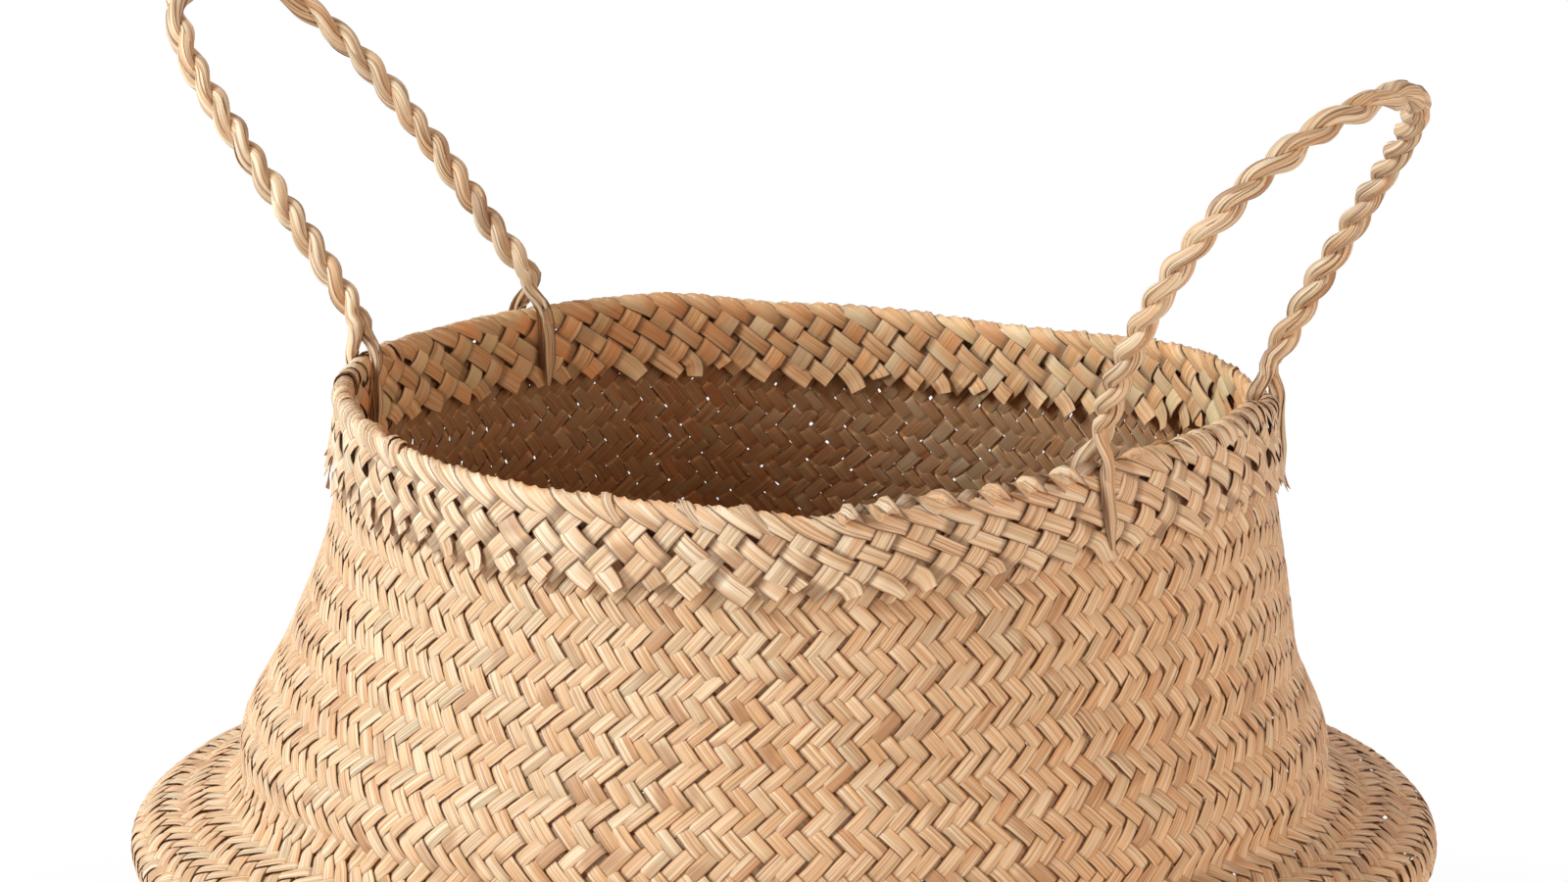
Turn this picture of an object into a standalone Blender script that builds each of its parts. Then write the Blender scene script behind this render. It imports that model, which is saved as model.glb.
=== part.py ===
"""A belly basket: a woven straw basket with a wide soft belly, a narrow neck, a plaited collar and rope handles.

Metres, +Z up. The origin is the middle of the flat woven base, on the face it stands on.
The two handles stand on the +X and -X sides, both a little towards the back (+Y).
"""
import math

import bmesh
import bpy
from mathutils import Vector, geometry

for old in list(bpy.data.objects):
    bpy.data.objects.remove(old, do_unlink=True)

# The woven wall: radius and height of its middle line where the form changes, and which way it runs there
WALL = 0.0022
BASE_RADIUS = 0.112
BOWL_RADIUS, BOWL_HEIGHT, BOWL_DEGREES = 0.166, 0.058, 52
TURN_RADIUS, TURN_HEIGHT, TURN_DEGREES = 0.1985, 0.133, 68
RIDGE_RADIUS, RIDGE_HEIGHT = 0.2090, 0.149
SHOULDER_RADIUS, SHOULDER_HEIGHT, SHOULDER_DEGREES = 0.1735, 0.1755, 82
WAIST_RADIUS, WAIST_HEIGHT, WAIST_DEGREES = 0.1600, 0.216, 106
NECK_RADIUS, NECK_HEIGHT = 0.148, 0.268
TANGENT_SHARE = 0.36

# The collar: plaited bands on both faces of the wall, with cut ends below and strips folded over the rim
COLLAR_HEIGHT = 0.0275
BAND = 0.0016
HEM_TOOTH = 0.0040
HEM_TEETH = 40
FOLD_HEIGHT = 0.0036
FOLD_RIPPLE = 0.0006

# The rope handles: two plies laid round each other, bent by hand, so each handle has its own sizes
PLY_RADIUS = 0.0023
PLY_CLEARANCE = 0.0008
LAY_LENGTH = 0.024
PIVOT_RISE = 0.0105
LEG_SETTLE = 0.010
HANDLES = {
    "right": {
        "azimuth_degrees": 4, "spread_degrees": 28, "height": 0.122, "skew": -0.015, "splay_degrees": 23,
        "leg_reach": 0.074, "crown_reach": 0.070, "lean_low_degrees": 24, "lean_high_degrees": 44,
    },
    "left": {
        "azimuth_degrees": 176, "spread_degrees": 18.8, "height": 0.137, "skew": 0.001, "splay_degrees": -10,
        "leg_reach": 0.047, "crown_reach": 0.059, "lean_low_degrees": 41, "lean_high_degrees": 47,
    },
}

# The tails: each ply ends flat against one face of the collar, tucked through it
TAIL_RADIUS = 0.0018
TAIL_DROP = 0.0245
TAIL_BEND = 0.0055
TAIL_TIP_SHARE = 0.45
TAIL_SHARES = (0.4, 0.8, 1)

CLEARANCE = 0.0003
SEGMENTS = 60
BELLY_STEPS = 3, 3, 2, 5
NECK_STEPS = 3, 2
LAY_STEPS = 8
LINE_STEPS = 60
CAP_DEGREES = (30, 60, 80)
TUBE_RESOLUTION = 1
TAIL_STEPS = 6

RIM_HEIGHT = NECK_HEIGHT + COLLAR_HEIGHT
BAND_TOP = RIM_HEIGHT - FOLD_HEIGHT - CLEARANCE
COLLAR_HALF = WALL / 2 + CLEARANCE + BAND
LAY_RADIUS = PLY_RADIUS + PLY_CLEARANCE / 2
PIVOT_HEIGHT = RIM_HEIGHT + PIVOT_RISE


def make_material(name, color, roughness):
    material = bpy.data.materials.new(name)
    material.use_nodes = True
    shader = material.node_tree.nodes["Principled BSDF"]
    shader.inputs["Base Color"].default_value = (*color, 1)
    shader.inputs["Roughness"].default_value = roughness
    shader.inputs["Metallic"].default_value = 0
    return material


WEAVE = make_material("woven straw", (0.60, 0.40, 0.22), 0.72)
SHADED_WEAVE = make_material("shaded straw", (0.42, 0.26, 0.14), 0.78)
PLAIT = make_material("plaited straw", (0.68, 0.47, 0.27), 0.66)
ROPE = make_material("twisted straw", (0.74, 0.51, 0.30), 0.62)


def place(name, mesh, material):
    mesh.materials.append(material)
    piece = bpy.data.objects.new(name, mesh)
    bpy.context.scene.collection.objects.link(piece)
    return piece


def direction(degrees):
    return Vector((math.cos(math.radians(degrees)), math.sin(math.radians(degrees))))


def wall_line(stations, steps):
    """Points of a smooth line through stations of radius, height and direction, this many steps to each next one."""
    points = []
    for (radius_0, height_0, degrees_0), (radius_1, height_1, degrees_1), count in zip(stations, stations[1:], steps):
        start, end = Vector((radius_0, height_0)), Vector((radius_1, height_1))
        reach = (end - start).length * TANGENT_SHARE
        run = geometry.interpolate_bezier(
            start, start + direction(degrees_0) * reach,
            end - direction(degrees_1) * reach, end, count + 1)
        points += run[:-1]
    return points + [end]


def wall_section(line, first_degrees, last_degrees):
    """The outline of a wall of even thickness along a line, with its ends cut square."""
    ahead = [direction(first_degrees)]
    ahead += [(after - before).normalized() for before, after in zip(line, line[2:])]
    ahead.append(direction(last_degrees))
    outer = [point + Vector((run.y, -run.x)) * (WALL / 2) for point, run in zip(line, ahead)]
    inner = [point - Vector((run.y, -run.x)) * (WALL / 2) for point, run in zip(line, ahead)]
    return outer + inner[::-1]


def turn(name, section, material, segments=SEGMENTS, shape=None):
    """A closed solid turned about Z from its section, whose points shape may then move."""
    work = bmesh.new()
    corners = [work.verts.new((radius, 0, height)) for radius, height in section]
    on_axis = section[0][0] == 0
    pairs = list(zip(corners, corners[1:])) + ([] if on_axis else [(corners[-1], corners[0])])
    edges = [work.edges.new(pair) for pair in pairs]
    bmesh.ops.spin(
        work, geom=corners + edges, cent=(0, 0, 0), axis=(0, 0, 1),
        angle=math.tau, steps=segments, use_merge=True)
    if on_axis:
        bmesh.ops.remove_doubles(work, verts=work.verts[:], dist=CLEARANCE / 10)
    if shape:
        for corner in work.verts:
            column = round(math.atan2(corner.co.y, corner.co.x) / math.tau * segments)
            corner.co = shape(corner.co, column)
    bmesh.ops.recalc_face_normals(work, faces=work.faces[:])
    mesh = bpy.data.meshes.new(name)
    work.to_mesh(mesh)
    work.free()
    mesh.shade_smooth()
    mesh.set_sharp_from_angle(angle=math.radians(50))
    return place(name, mesh, material)


def make_base():
    """The flat woven disc that the basket stands on."""
    section = [(0, 0), (BASE_RADIUS, 0), (BASE_RADIUS, WALL), (0, WALL)]
    turn("woven_base", section, SHADED_WEAVE)


def make_belly():
    """The bowl from the base out to the ridge, and the soft shoulder folded in over it."""
    stations = [
        (BASE_RADIUS + CLEARANCE, WALL / 2, 0),
        (BOWL_RADIUS, BOWL_HEIGHT, BOWL_DEGREES),
        (TURN_RADIUS, TURN_HEIGHT, TURN_DEGREES),
        (RIDGE_RADIUS, RIDGE_HEIGHT, 90),
        (SHOULDER_RADIUS, SHOULDER_HEIGHT, SHOULDER_DEGREES),
    ]
    turn("belly_wall", wall_section(wall_line(stations, BELLY_STEPS), 0, SHOULDER_DEGREES), WEAVE)


def make_neck():
    """The wall that narrows from the shoulder to the collar, and gives way when the neck is pressed down."""
    start = Vector((SHOULDER_RADIUS, SHOULDER_HEIGHT)) + direction(SHOULDER_DEGREES) * CLEARANCE
    stations = [
        (start.x, start.y, SHOULDER_DEGREES),
        (WAIST_RADIUS, WAIST_HEIGHT, WAIST_DEGREES),
        (NECK_RADIUS, NECK_HEIGHT, 90),
    ]
    turn("neck_wall", wall_section(wall_line(stations, NECK_STEPS), SHOULDER_DEGREES, 90), WEAVE)


def hem(corner, column):
    """Every second column of a band's lower edge hangs a tooth lower: the cut ends of its strips."""
    if corner.z < NECK_HEIGHT + CLEARANCE + HEM_TOOTH * 1.5 and column % 2:
        corner.z -= HEM_TOOTH
    return corner


def ripple(corner, column):
    """Every second column of the fold stands a little lower: the strips that turn over the rim."""
    if corner.z > RIM_HEIGHT - FOLD_HEIGHT / 2 and column % 2:
        corner.z -= FOLD_RIPPLE
    return corner


def ring(inner, thickness, low, high):
    return [(inner, high), (inner + thickness, high), (inner + thickness, low), (inner, low)]


def make_collar():
    """The wall's last rows between two plaited bands, under strips folded over the rim."""
    low = NECK_HEIGHT + CLEARANCE
    turn("collar_wall", ring(NECK_RADIUS - WALL / 2, WALL, low, BAND_TOP), SHADED_WEAVE)
    hem_low = low + HEM_TOOTH
    outer = NECK_RADIUS + WALL / 2 + CLEARANCE
    inner = NECK_RADIUS - COLLAR_HALF
    turn("collar_outer_band", ring(outer, BAND, hem_low, BAND_TOP), PLAIT, HEM_TEETH * 2, hem)
    turn("collar_inner_band", ring(inner, BAND, hem_low, BAND_TOP), PLAIT, HEM_TEETH * 2, hem)
    arc = [180 - step * 30 for step in range(7)]
    fold = [
        (NECK_RADIUS + COLLAR_HALF * direction(degrees).x,
         RIM_HEIGHT - FOLD_HEIGHT + FOLD_HEIGHT * direction(degrees).y) for degrees in arc]
    turn("rim_fold", fold, PLAIT, HEM_TEETH * 2, ripple)


def make_tube(name, points, radii, material, origin=Vector()):
    """A closed tube along points, as thick at each as its radius says, with its own origin."""
    curve = bpy.data.curves.new(name, "CURVE")
    curve.dimensions = "3D"
    curve.bevel_depth = 1
    curve.bevel_resolution = TUBE_RESOLUTION
    curve.use_fill_caps = True
    curve.twist_mode = "MINIMUM"
    spline = curve.splines.new("POLY")
    spline.points.add(len(points) - 1)
    for knot, point, radius in zip(spline.points, points, radii):
        knot.co = (*(point - origin), 1)
        knot.radius = radius
    spline.use_smooth = True
    piece = place(name, curve, material)
    piece.location = origin
    return piece


class Handle:
    """Where one handle stands: the axis it swings on, its way out, and the line its rope follows."""

    def __init__(self, sizes):
        self.sizes = sizes
        out = direction(sizes["azimuth_degrees"])
        self.out = Vector((out.x, out.y, 0))
        self.axis = Vector((-out.y, out.x, 0))
        spread = direction(sizes["spread_degrees"])
        self.half_chord = NECK_RADIUS * spread.y
        self.middle = self.out * NECK_RADIUS * spread.x + Vector((0, 0, PIVOT_HEIGHT))

    def at(self, along, rise):
        """The point this far along the axis and up the handle, which leans out more the higher it is."""
        low, high = self.sizes["lean_low_degrees"], self.sizes["lean_high_degrees"]
        share = rise / self.sizes["height"]
        lean = direction(low + (high - low) * share / 2)
        aside = self.axis * (along + self.sizes["skew"] * share)
        return self.middle + aside + self.out * rise * lean.y + Vector((0, 0, rise * lean.x))

    def line(self, steps):
        """The middle line of the rope, from one leg over the crown to the other."""
        height, splay = self.sizes["height"], direction(self.sizes["splay_degrees"])
        foot = Vector((self.half_chord, 0))
        half = geometry.interpolate_bezier(
            foot, foot + Vector((splay.y, splay.x)) * self.sizes["leg_reach"],
            Vector((self.sizes["crown_reach"], height)), Vector((0, height)), steps + 1)
        first = [self.at(-along, rise) for along, rise in half]
        return first + [self.at(along, rise) for along, rise in half[-2::-1]]


def even_points(line, count):
    """The line again as count + 1 points an even distance apart, and its length."""
    reached = [0]
    for before, after in zip(line, line[1:]):
        reached.append(reached[-1] + (after - before).length)
    points, step = [], 0
    for index in range(count + 1):
        wanted = reached[-1] * index / count
        while step < len(line) - 2 and reached[step + 1] < wanted:
            step += 1
        share = (wanted - reached[step]) / (reached[step + 1] - reached[step])
        points.append(line[step].lerp(line[step + 1], min(share, 1)))
    return points, reached[-1]


def make_plies(side, handle):
    """Two plies laid round each other, but side by side in the legs, with their rounded ends on the swing's axis.

    Gives back where the ends sit: two at each leg.
    """
    line = handle.line(LINE_STEPS)
    length = even_points(line, LINE_STEPS)[1]
    laid = length - 2 * LEG_SETTLE
    half_turns = round(laid / LAY_LENGTH * 2)
    count = round(length / LAY_LENGTH * LAY_STEPS)
    points = even_points(line, count)[0]
    side_way = handle.axis.copy()
    offsets, runs = [], []
    for index, point in enumerate(points):
        ahead = (points[min(index + 1, count)] - points[max(index - 1, 0)]).normalized()
        side_way = (side_way - ahead * side_way.dot(ahead)).normalized()
        seat_way = handle.axis * math.copysign(1, side_way.dot(handle.axis))
        reached = length * index / count
        across = seat_way.lerp(side_way, min(reached / LEG_SETTLE, (length - reached) / LEG_SETTLE, 1))
        across /= (across - ahead * across.dot(ahead)).length
        angle = math.pi * half_turns * min(max((reached - LEG_SETTLE) / laid, 0), 1)
        offsets.append(across * math.cos(angle) + ahead.cross(side_way) * math.sin(angle))
        runs.append(ahead)
    caps = [(direction(degrees).y, direction(degrees).x) for degrees in CAP_DEGREES]
    seats = []
    for ply, sign in ((1, 1), (2, -1)):
        knots = [point + offset * LAY_RADIUS * sign for point, offset in zip(points, offsets)]
        start = [knots[0] - runs[0] * PLY_RADIUS * past for past, _ in caps]
        end = [knots[-1] + runs[-1] * PLY_RADIUS * past for past, _ in caps]
        rounding = [PLY_RADIUS * width for _, width in caps]
        radii = rounding[::-1] + [PLY_RADIUS] * len(knots) + rounding
        make_tube(f"{side}_handle_ply_{ply}", start[::-1] + knots + end, radii, ROPE, handle.middle)
        seats.append((knots[0], knots[-1]))
    return list(zip(*seats))


def make_tails(side, seats):
    """Where the plies part above the rim, one goes down each face of the collar, beside the other."""
    front = min(seats, key=lambda leg: leg[0].y)
    for leg in seats:
        end = "front" if leg is front else "back"
        inner_seat, outer_seat = sorted(leg, key=lambda seat: seat.xy.length)
        for face, way, seat in (("inner", -1, inner_seat), ("outer", 1, outer_seat)):
            out = seat.xy.normalized()
            beside = NECK_RADIUS + (COLLAR_HALF + CLEARANCE + TAIL_RADIUS) * way
            top = Vector((seat.xy.length, seat.z - PLY_RADIUS - CLEARANCE))
            low = Vector((beside, RIM_HEIGHT - FOLD_HEIGHT / 2))
            down = Vector((0, TAIL_BEND))
            route = geometry.interpolate_bezier(top, top - down, low + down, low, TAIL_STEPS + 1)
            drop = RIM_HEIGHT - TAIL_DROP - low.y
            route += [low + Vector((0, drop * share)) for share in TAIL_SHARES]
            points = [Vector((out.x * spot.x, out.y * spot.x, spot.y)) for spot in route]
            radii = [TAIL_RADIUS] * (len(points) - 1) + [TAIL_RADIUS * TAIL_TIP_SHARE]
            make_tube(f"{side}_{end}_{face}_tail", points, radii, ROPE)


make_base()
make_belly()
make_neck()
make_collar()
for side_name, side_sizes in HANDLES.items():
    make_tails(side_name, make_plies(side_name, Handle(side_sizes)))
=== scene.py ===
import math

import bpy
import numpy as np
from mathutils import Matrix, Vector, geometry


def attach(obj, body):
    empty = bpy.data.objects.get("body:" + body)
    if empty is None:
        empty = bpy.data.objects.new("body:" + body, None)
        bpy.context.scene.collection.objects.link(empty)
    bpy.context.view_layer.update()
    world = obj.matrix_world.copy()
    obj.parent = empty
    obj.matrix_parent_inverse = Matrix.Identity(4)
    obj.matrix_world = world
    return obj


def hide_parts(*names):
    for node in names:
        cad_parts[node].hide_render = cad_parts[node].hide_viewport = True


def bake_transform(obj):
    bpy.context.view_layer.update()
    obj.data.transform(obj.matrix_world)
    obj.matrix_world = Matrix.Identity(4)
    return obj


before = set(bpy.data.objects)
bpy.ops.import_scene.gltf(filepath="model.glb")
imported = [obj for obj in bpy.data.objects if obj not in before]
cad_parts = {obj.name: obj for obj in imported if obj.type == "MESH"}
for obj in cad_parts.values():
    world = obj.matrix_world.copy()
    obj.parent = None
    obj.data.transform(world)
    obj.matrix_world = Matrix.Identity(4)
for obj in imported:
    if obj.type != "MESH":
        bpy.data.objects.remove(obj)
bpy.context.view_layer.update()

# The view: a long lens from the right of the basket's front, looking a little down into its mouth. Its
# middle is a little to the left of the rim's, where the belly stands.
VIEW_HEIGHT, VIEW_ASIDE = 0.220, -0.0069
VIEW_DISTANCE = 2.2
VIEW_AZIMUTH, VIEW_ELEVATION, AIM_ABOVE = 29, 14.7, 1.456
LENS, SEEN_TO = 157.6, 40


def out_from(height, azimuth, elevation, distance):
    """The point this far out from the basket's middle at a height. Azimuth 0 is in front of it."""
    turn, rise = math.radians(azimuth), math.radians(elevation)
    back = Vector((math.sin(turn) * math.cos(rise), -math.cos(turn) * math.cos(rise), math.sin(rise)))
    return Vector((0, 0, height)) + back * distance


camera = bpy.data.objects.new("view", bpy.data.cameras.new("view"))
camera.data.lens = LENS
camera.data.clip_end = SEEN_TO
view_right = Vector((math.cos(math.radians(VIEW_AZIMUTH)), math.sin(math.radians(VIEW_AZIMUTH)), 0))
view_from = out_from(VIEW_HEIGHT, VIEW_AZIMUTH, VIEW_ELEVATION, VIEW_DISTANCE)
camera.location = view_from + view_right * VIEW_ASIDE
camera.rotation_euler = [math.radians(part) for part in (90 - VIEW_ELEVATION + AIM_ABOVE, 0, VIEW_AZIMUTH)]
bpy.context.scene.collection.objects.link(camera)
bpy.context.scene.camera = camera
bpy.context.scene.view_settings.view_transform = "Standard"


# The floor and the light. A pale floor keeps the shadow round the basket's foot, and is white further
# out, as the backdrop is. A soft lamp stands high on the left, and a broad one low on the right.
FLOOR_SIDE = 24
FLOOR_WHITE, SHADOW_SHARE = 0.86, 0.30
SHADOW_NEAR, SHADOW_FAR = 0.26, 0.55
AMBIENT, AMBIENT_COLOR = 0.34, (1, 0.80, 0.61, 1)
LAMPS = {
    "left lamp": {
        "azimuth": -42, "elevation": 36, "distance": 2.0,
        "side": 0.8, "power": 39.5, "color": (0.84, 0.95, 1)},
    "right lamp": {
        "azimuth": 77, "elevation": 3, "distance": 2.6,
        "side": 1.5, "power": 32, "color": (1, 0.84, 0.71)},
}


class Value:
    """One output of a node. Arithmetic with it adds Math nodes to its tree."""

    def __init__(self, tree, socket):
        self.tree, self.socket = tree, socket

    def math(self, operation, first, second=0.0):
        return self.tree.add("ShaderNodeMath", {"operation": operation}, {0: first, 1: second})

    def __add__(self, other):
        return self.math("ADD", self, other)

    def __sub__(self, other):
        return self.math("SUBTRACT", self, other)

    def __rsub__(self, other):
        return self.math("SUBTRACT", other, self)

    def __mul__(self, other):
        return self.math("MULTIPLY", self, other)

    def __truediv__(self, other):
        return self.math("DIVIDE", self, other)

    def __abs__(self):
        return self.math("ABSOLUTE", self)

    def between(self, low, high):
        return self.math("MINIMUM", self.math("MAXIMUM", self, low), high)

    __radd__ = __add__
    __rmul__ = __mul__


class Tree:
    """A node tree being built. add makes one node from its type, its settings and its sockets' values."""

    def __init__(self, tree):
        self.tree = tree

    def add(self, kind, settings=None, inputs=None, output=0):
        node = self.tree.nodes.new(kind)
        for name, setting in (settings or {}).items():
            if name != "stops":
                setattr(node, name, setting)
                continue
            while len(node.color_ramp.elements) < len(setting):
                node.color_ramp.elements.new(1)
            for stop, (place, color) in zip(node.color_ramp.elements, setting):
                stop.position, stop.color = place, (*color, 1)
        for name, value in (inputs or {}).items():
            socket = self.pick(node.inputs, name)
            if isinstance(value, Value):
                self.tree.links.new(value.socket, socket)
            else:
                socket.default_value = value
        return Value(self, self.pick(node.outputs, output)) if node.outputs else None

    def pick(self, sockets, name):
        """The socket with this number or name that the node's settings leave in use."""
        if isinstance(name, int):
            return sockets[name]
        return next(socket for socket in sockets if socket.name == name and socket.enabled)

    def other(self, value, name):
        """Another output of the node that a value comes from."""
        return Value(self, self.pick(value.socket.node.outputs, name))


def new_shader(owner):
    """The emptied node tree of a material or a world."""
    owner.use_nodes = True
    owner.node_tree.nodes.clear()
    return Tree(owner.node_tree)


def seen_directly(shader):
    """1 for what the lens sees by itself, in a shiny face or through something clear, and else 0."""
    camera_ray = shader.add("ShaderNodeLightPath", output="Is Camera Ray")
    glossy_ray = shader.other(camera_ray, "Is Glossy Ray")
    clear_ray = shader.other(camera_ray, "Is Transmission Ray")
    return (camera_ray + glossy_ray + clear_ray).between(0.0, 1.0)


floor_material = bpy.data.materials.new("pale floor")
shader = new_shader(floor_material)
from_middle = shader.add("ShaderNodeVectorMath", {"operation": "LENGTH"}, {
    0: shader.add("ShaderNodeNewGeometry", output="Position")}, "Value")
shadow_share = ((SHADOW_FAR - from_middle) / (SHADOW_FAR - SHADOW_NEAR)).between(0.0, 1.0) * SHADOW_SHARE
shader.add("ShaderNodeOutputMaterial", None, {"Surface": shader.add("ShaderNodeMixShader", None, {
    0: seen_directly(shader) * (1 - shadow_share),
    1: shader.add("ShaderNodeBsdfDiffuse", None, {"Color": (FLOOR_WHITE, FLOOR_WHITE, FLOOR_WHITE, 1)}),
    2: shader.add("ShaderNodeEmission", None, {"Color": (1, 1, 1, 1), "Strength": 1.0})})})
floor_mesh = bpy.data.meshes.new("floor")
half_side = FLOOR_SIDE / 2
floor_mesh.from_pydata([(x, y, 0) for x, y in (
    (-half_side, -half_side), (half_side, -half_side), (half_side, half_side), (-half_side, half_side))],
    [], [(0, 1, 2, 3)])
floor_mesh.materials.append(floor_material)
floor = bpy.data.objects.new("floor", floor_mesh)
bpy.context.scene.collection.objects.link(floor)

world = bpy.data.worlds.new("studio")
bpy.context.scene.world = world
shader = new_shader(world)
shader.add("ShaderNodeOutputWorld", None, {"Surface": shader.add("ShaderNodeMixShader", None, {
    0: seen_directly(shader),
    1: shader.add("ShaderNodeBackground", None, {"Color": AMBIENT_COLOR, "Strength": AMBIENT}),
    2: shader.add("ShaderNodeBackground", None, {"Color": (1, 1, 1, 1), "Strength": 1.0})})})

for lamp_name, facts in LAMPS.items():
    lamp = bpy.data.objects.new(lamp_name, bpy.data.lights.new(lamp_name, "AREA"))
    lamp.data.size = facts["side"]
    lamp.data.energy = facts["power"]
    lamp.data.color = facts["color"]
    lamp.location = out_from(VIEW_HEIGHT, facts["azimuth"], facts["elevation"], facts["distance"])
    aim = Vector((0, 0, VIEW_HEIGHT)) - lamp.location
    lamp.rotation_euler = aim.to_track_quat("-Z", "Y").to_euler()
    bpy.context.scene.collection.objects.link(lamp)


# The woven wall. One mat of split leaf runs on the bias from the base to the rim: 160 strands each
# way, each over two and under two. Where it turns in at the ridge and at the shoulder it was pressed.
STRANDS = 160
ROW = 0.0035
STEPS_PER_ROW = 3
STRAND_CORNERS = 6
STRAND_SHARE, BELLY_OPEN = 0.972, 0.085
BELLY_OPEN_HEIGHTS = (0.152, 0.190)
STRAND_FLATNESS = 0.10
STRAND_CUP = 0.05
RELIEF = 0.00054
WEAVE_STATIONS = (
    (0.1080, 0.0022, 0), (0.166, 0.058, 52), (0.1978, 0.133, 68), (0.2092, 0.1492, 90),
    (0.1735, 0.1755, 80), (0.1603, 0.2158, 105), (0.1494, 0.262, 97), (0.1470, 0.284, 94))
TANGENT_SHARE, CURVE_STEPS = 0.36, 40
STRAND_UNEVENNESS, STRAND_WANDER = 0.34, 0.22
WANDER_PER_STRAND, WANDER_PER_ROW, WANDER_TILT = 7.31, 0.31, 0.35
CROSSING_SLOPE = 3
LOOSE_LIFT, LOOSE_SWING, LOOSE_TILT, MOST_POINTED = 0.8, 0.7, 1.3, 0.45
LEAN, LEAN_START, LEAN_END = -0.0069, 0.190, 0.255
RIM_RISES = (
    (-180, 0.0020), (-118, -0.0031), (-91, -0.0039), (-74, 0.0001), (-55, 0.0035), (-33, 0.0047),
    (-22, 0.0060), (-10, 0.0005), (6, -0.0060), (28, -0.0035), (60, -0.0081), (90, -0.0044),
    (112, 0.0010), (138, 0.0008), (180, 0.0020))
RISE_START, RISE_END = 0.185, 0.262
STRANDS_PER_PIECE = 40
# In each set of tones the darkest is the colour of painted shade, in creases, gaps and crossings.
STRAW = {
    "pale": (0.93, 0.60, 0.345), "tan": (0.78, 0.445, 0.225), "rust": (0.66, 0.335, 0.160),
    "olive": (0.62, 0.46, 0.29), "bleached": (1.0, 0.81, 0.58), "line": (0.44, 0.21, 0.10),
    "painted_shade": (0.20, 0.085, 0.035)}
TONES_BY_TINT = (
    (0.0, "rust"), (0.14, "tan"), (0.45, "pale"), (0.62, "tan"), (0.80, "pale"), (0.92, "olive"),
    (1.0, "pale"))
PATCHES = (
    {"tone": "tan", "per_metre": 24, "level": 0.44, "most": 0.75, "seed": 3.0},
    {"tone": "olive", "per_metre": 33, "level": 0.55, "most": 0.70, "seed": 17.0},
    {"tone": "rust", "per_metre": 41, "level": 0.57, "most": 0.60, "seed": 29.0})
# Painted light: inward faces are multiplied by a warmer, brighter tint for light bounced about the basket's
# inside.
INWARD_PAINTED_BOUNCE = (1.18, 0.98, 0.74)
# Patches on inward faces only: random tones, and with the rust ones painted warm shade of the inside.
INNER_PATCHES = (
    {"color": (1.0, 0.43, 0.17), "level": 0.52, "most": 0.80, "seed": 71.0},
    {"color": (0.78, 0.64, 0.37), "level": 0.55, "most": 0.75, "seed": 83.0},
    {"color": (1.0, 0.80, 0.50), "level": 0.55, "most": 0.70, "seed": 97.0})
# The second and third numbers set painted shade on inward faces, deeper on some strands than others.
TINT_SPREAD, INNER_SHADE_SPREAD, MOST_INNER_SHADE = 91.7, 7.3, 0.45
INWARD_START, INWARD_END = -0.2, 0.4
DULLNESS, DULLNESS_SPREAD, SHINE, SHEEN = 0.42, 0.25, 0.40, 0.05
FIBRE_HEIGHT = 0.0004
CREASED = 0.25
SHARP_DEGREES = 55


def bezier_line(stations, steps):
    """Points of a smooth line through stations of radius, height and direction in degrees."""
    points = []
    for (radius, height, degrees), (next_radius, next_height, next_degrees) in zip(stations, stations[1:]):
        start, end = Vector((radius, height)), Vector((next_radius, next_height))
        reach = (end - start).length * TANGENT_SHARE
        leave, arrive = math.radians(degrees), math.radians(next_degrees)
        points += geometry.interpolate_bezier(
            start, start + Vector((math.cos(leave), math.sin(leave))) * reach,
            end - Vector((math.cos(arrive), math.sin(arrive))) * reach, end, steps + 1)[:-1]
    return points + [end]


def even_line(points, spacing):
    """The line again, with its points an even distance apart from its start."""
    points = np.array([tuple(point) for point in points])
    reached = np.concatenate([[0], np.linalg.norm(np.diff(points, axis=0), axis=1).cumsum()])
    wanted = np.arange(0, reached[-1], spacing)
    return np.stack([np.interp(wanted, reached, column) for column in points.T], 1)


def smooth(values, start, end):
    """How far each value has come from a start to an end, from 0 to 1, leaving and arriving smoothly."""
    share = np.clip((np.asarray(values) - start) / (end - start), 0, 1)
    return share * share * (3 - 2 * share)


def round_the_rim(x, y, amounts):
    """The amount in this direction, eased between amounts listed by their degrees from the view's right."""
    degrees = (np.degrees(np.arctan2(y, x)) - VIEW_AZIMUTH + 180) % 360 - 180
    amount = 0
    for (before, low), (after, high) in zip(amounts, amounts[1:]):
        inside = (degrees >= before) & (degrees <= after)
        amount = np.where(inside, low + (high - low) * smooth(degrees, before, after), amount)
    return amount


def rim_rise(x, y):
    """How far the soft rim stands above its level in this direction."""
    return round_the_rim(x, y, RIM_RISES)


def settled(mesh):
    """Moves a mesh as this soft basket stands: the belly a little to the left, and the rim in waves."""
    places = np.empty(len(mesh.vertices) * 3, np.float32)
    mesh.vertices.foreach_get("co", places)
    places = places.reshape(-1, 3)
    rise = rim_rise(places[:, 0], places[:, 1]) * smooth(places[:, 2], RISE_START, RISE_END)
    lean = LEAN * (1 - smooth(places[:, 2], LEAN_START, LEAN_END))
    places[:, :2] += np.outer(lean, view_right.xy)
    places[:, 2] += rise
    mesh.vertices.foreach_set("co", places.ravel())
    mesh.update()


def carry(mesh, name, values):
    """Lets each place of a mesh carry its number under a name."""
    attribute = mesh.attributes.new(name, "FLOAT", "POINT")
    attribute.data.foreach_set("value", np.array(values, np.float32))


def bare_line(name, corners, **numbers):
    """Edges through corners, each of which carries these numbers for a tree to read. Strands stay apart."""
    mesh = bpy.data.meshes.new(name)
    strand = numbers.get("strand", [0] * len(corners))
    edges = [(place, place + 1) for place in range(len(corners) - 1) if strand[place] == strand[place + 1]]
    mesh.from_pydata(corners, edges, [])
    for attribute, values in numbers.items():
        carry(mesh, attribute, values)
    return mesh


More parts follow.
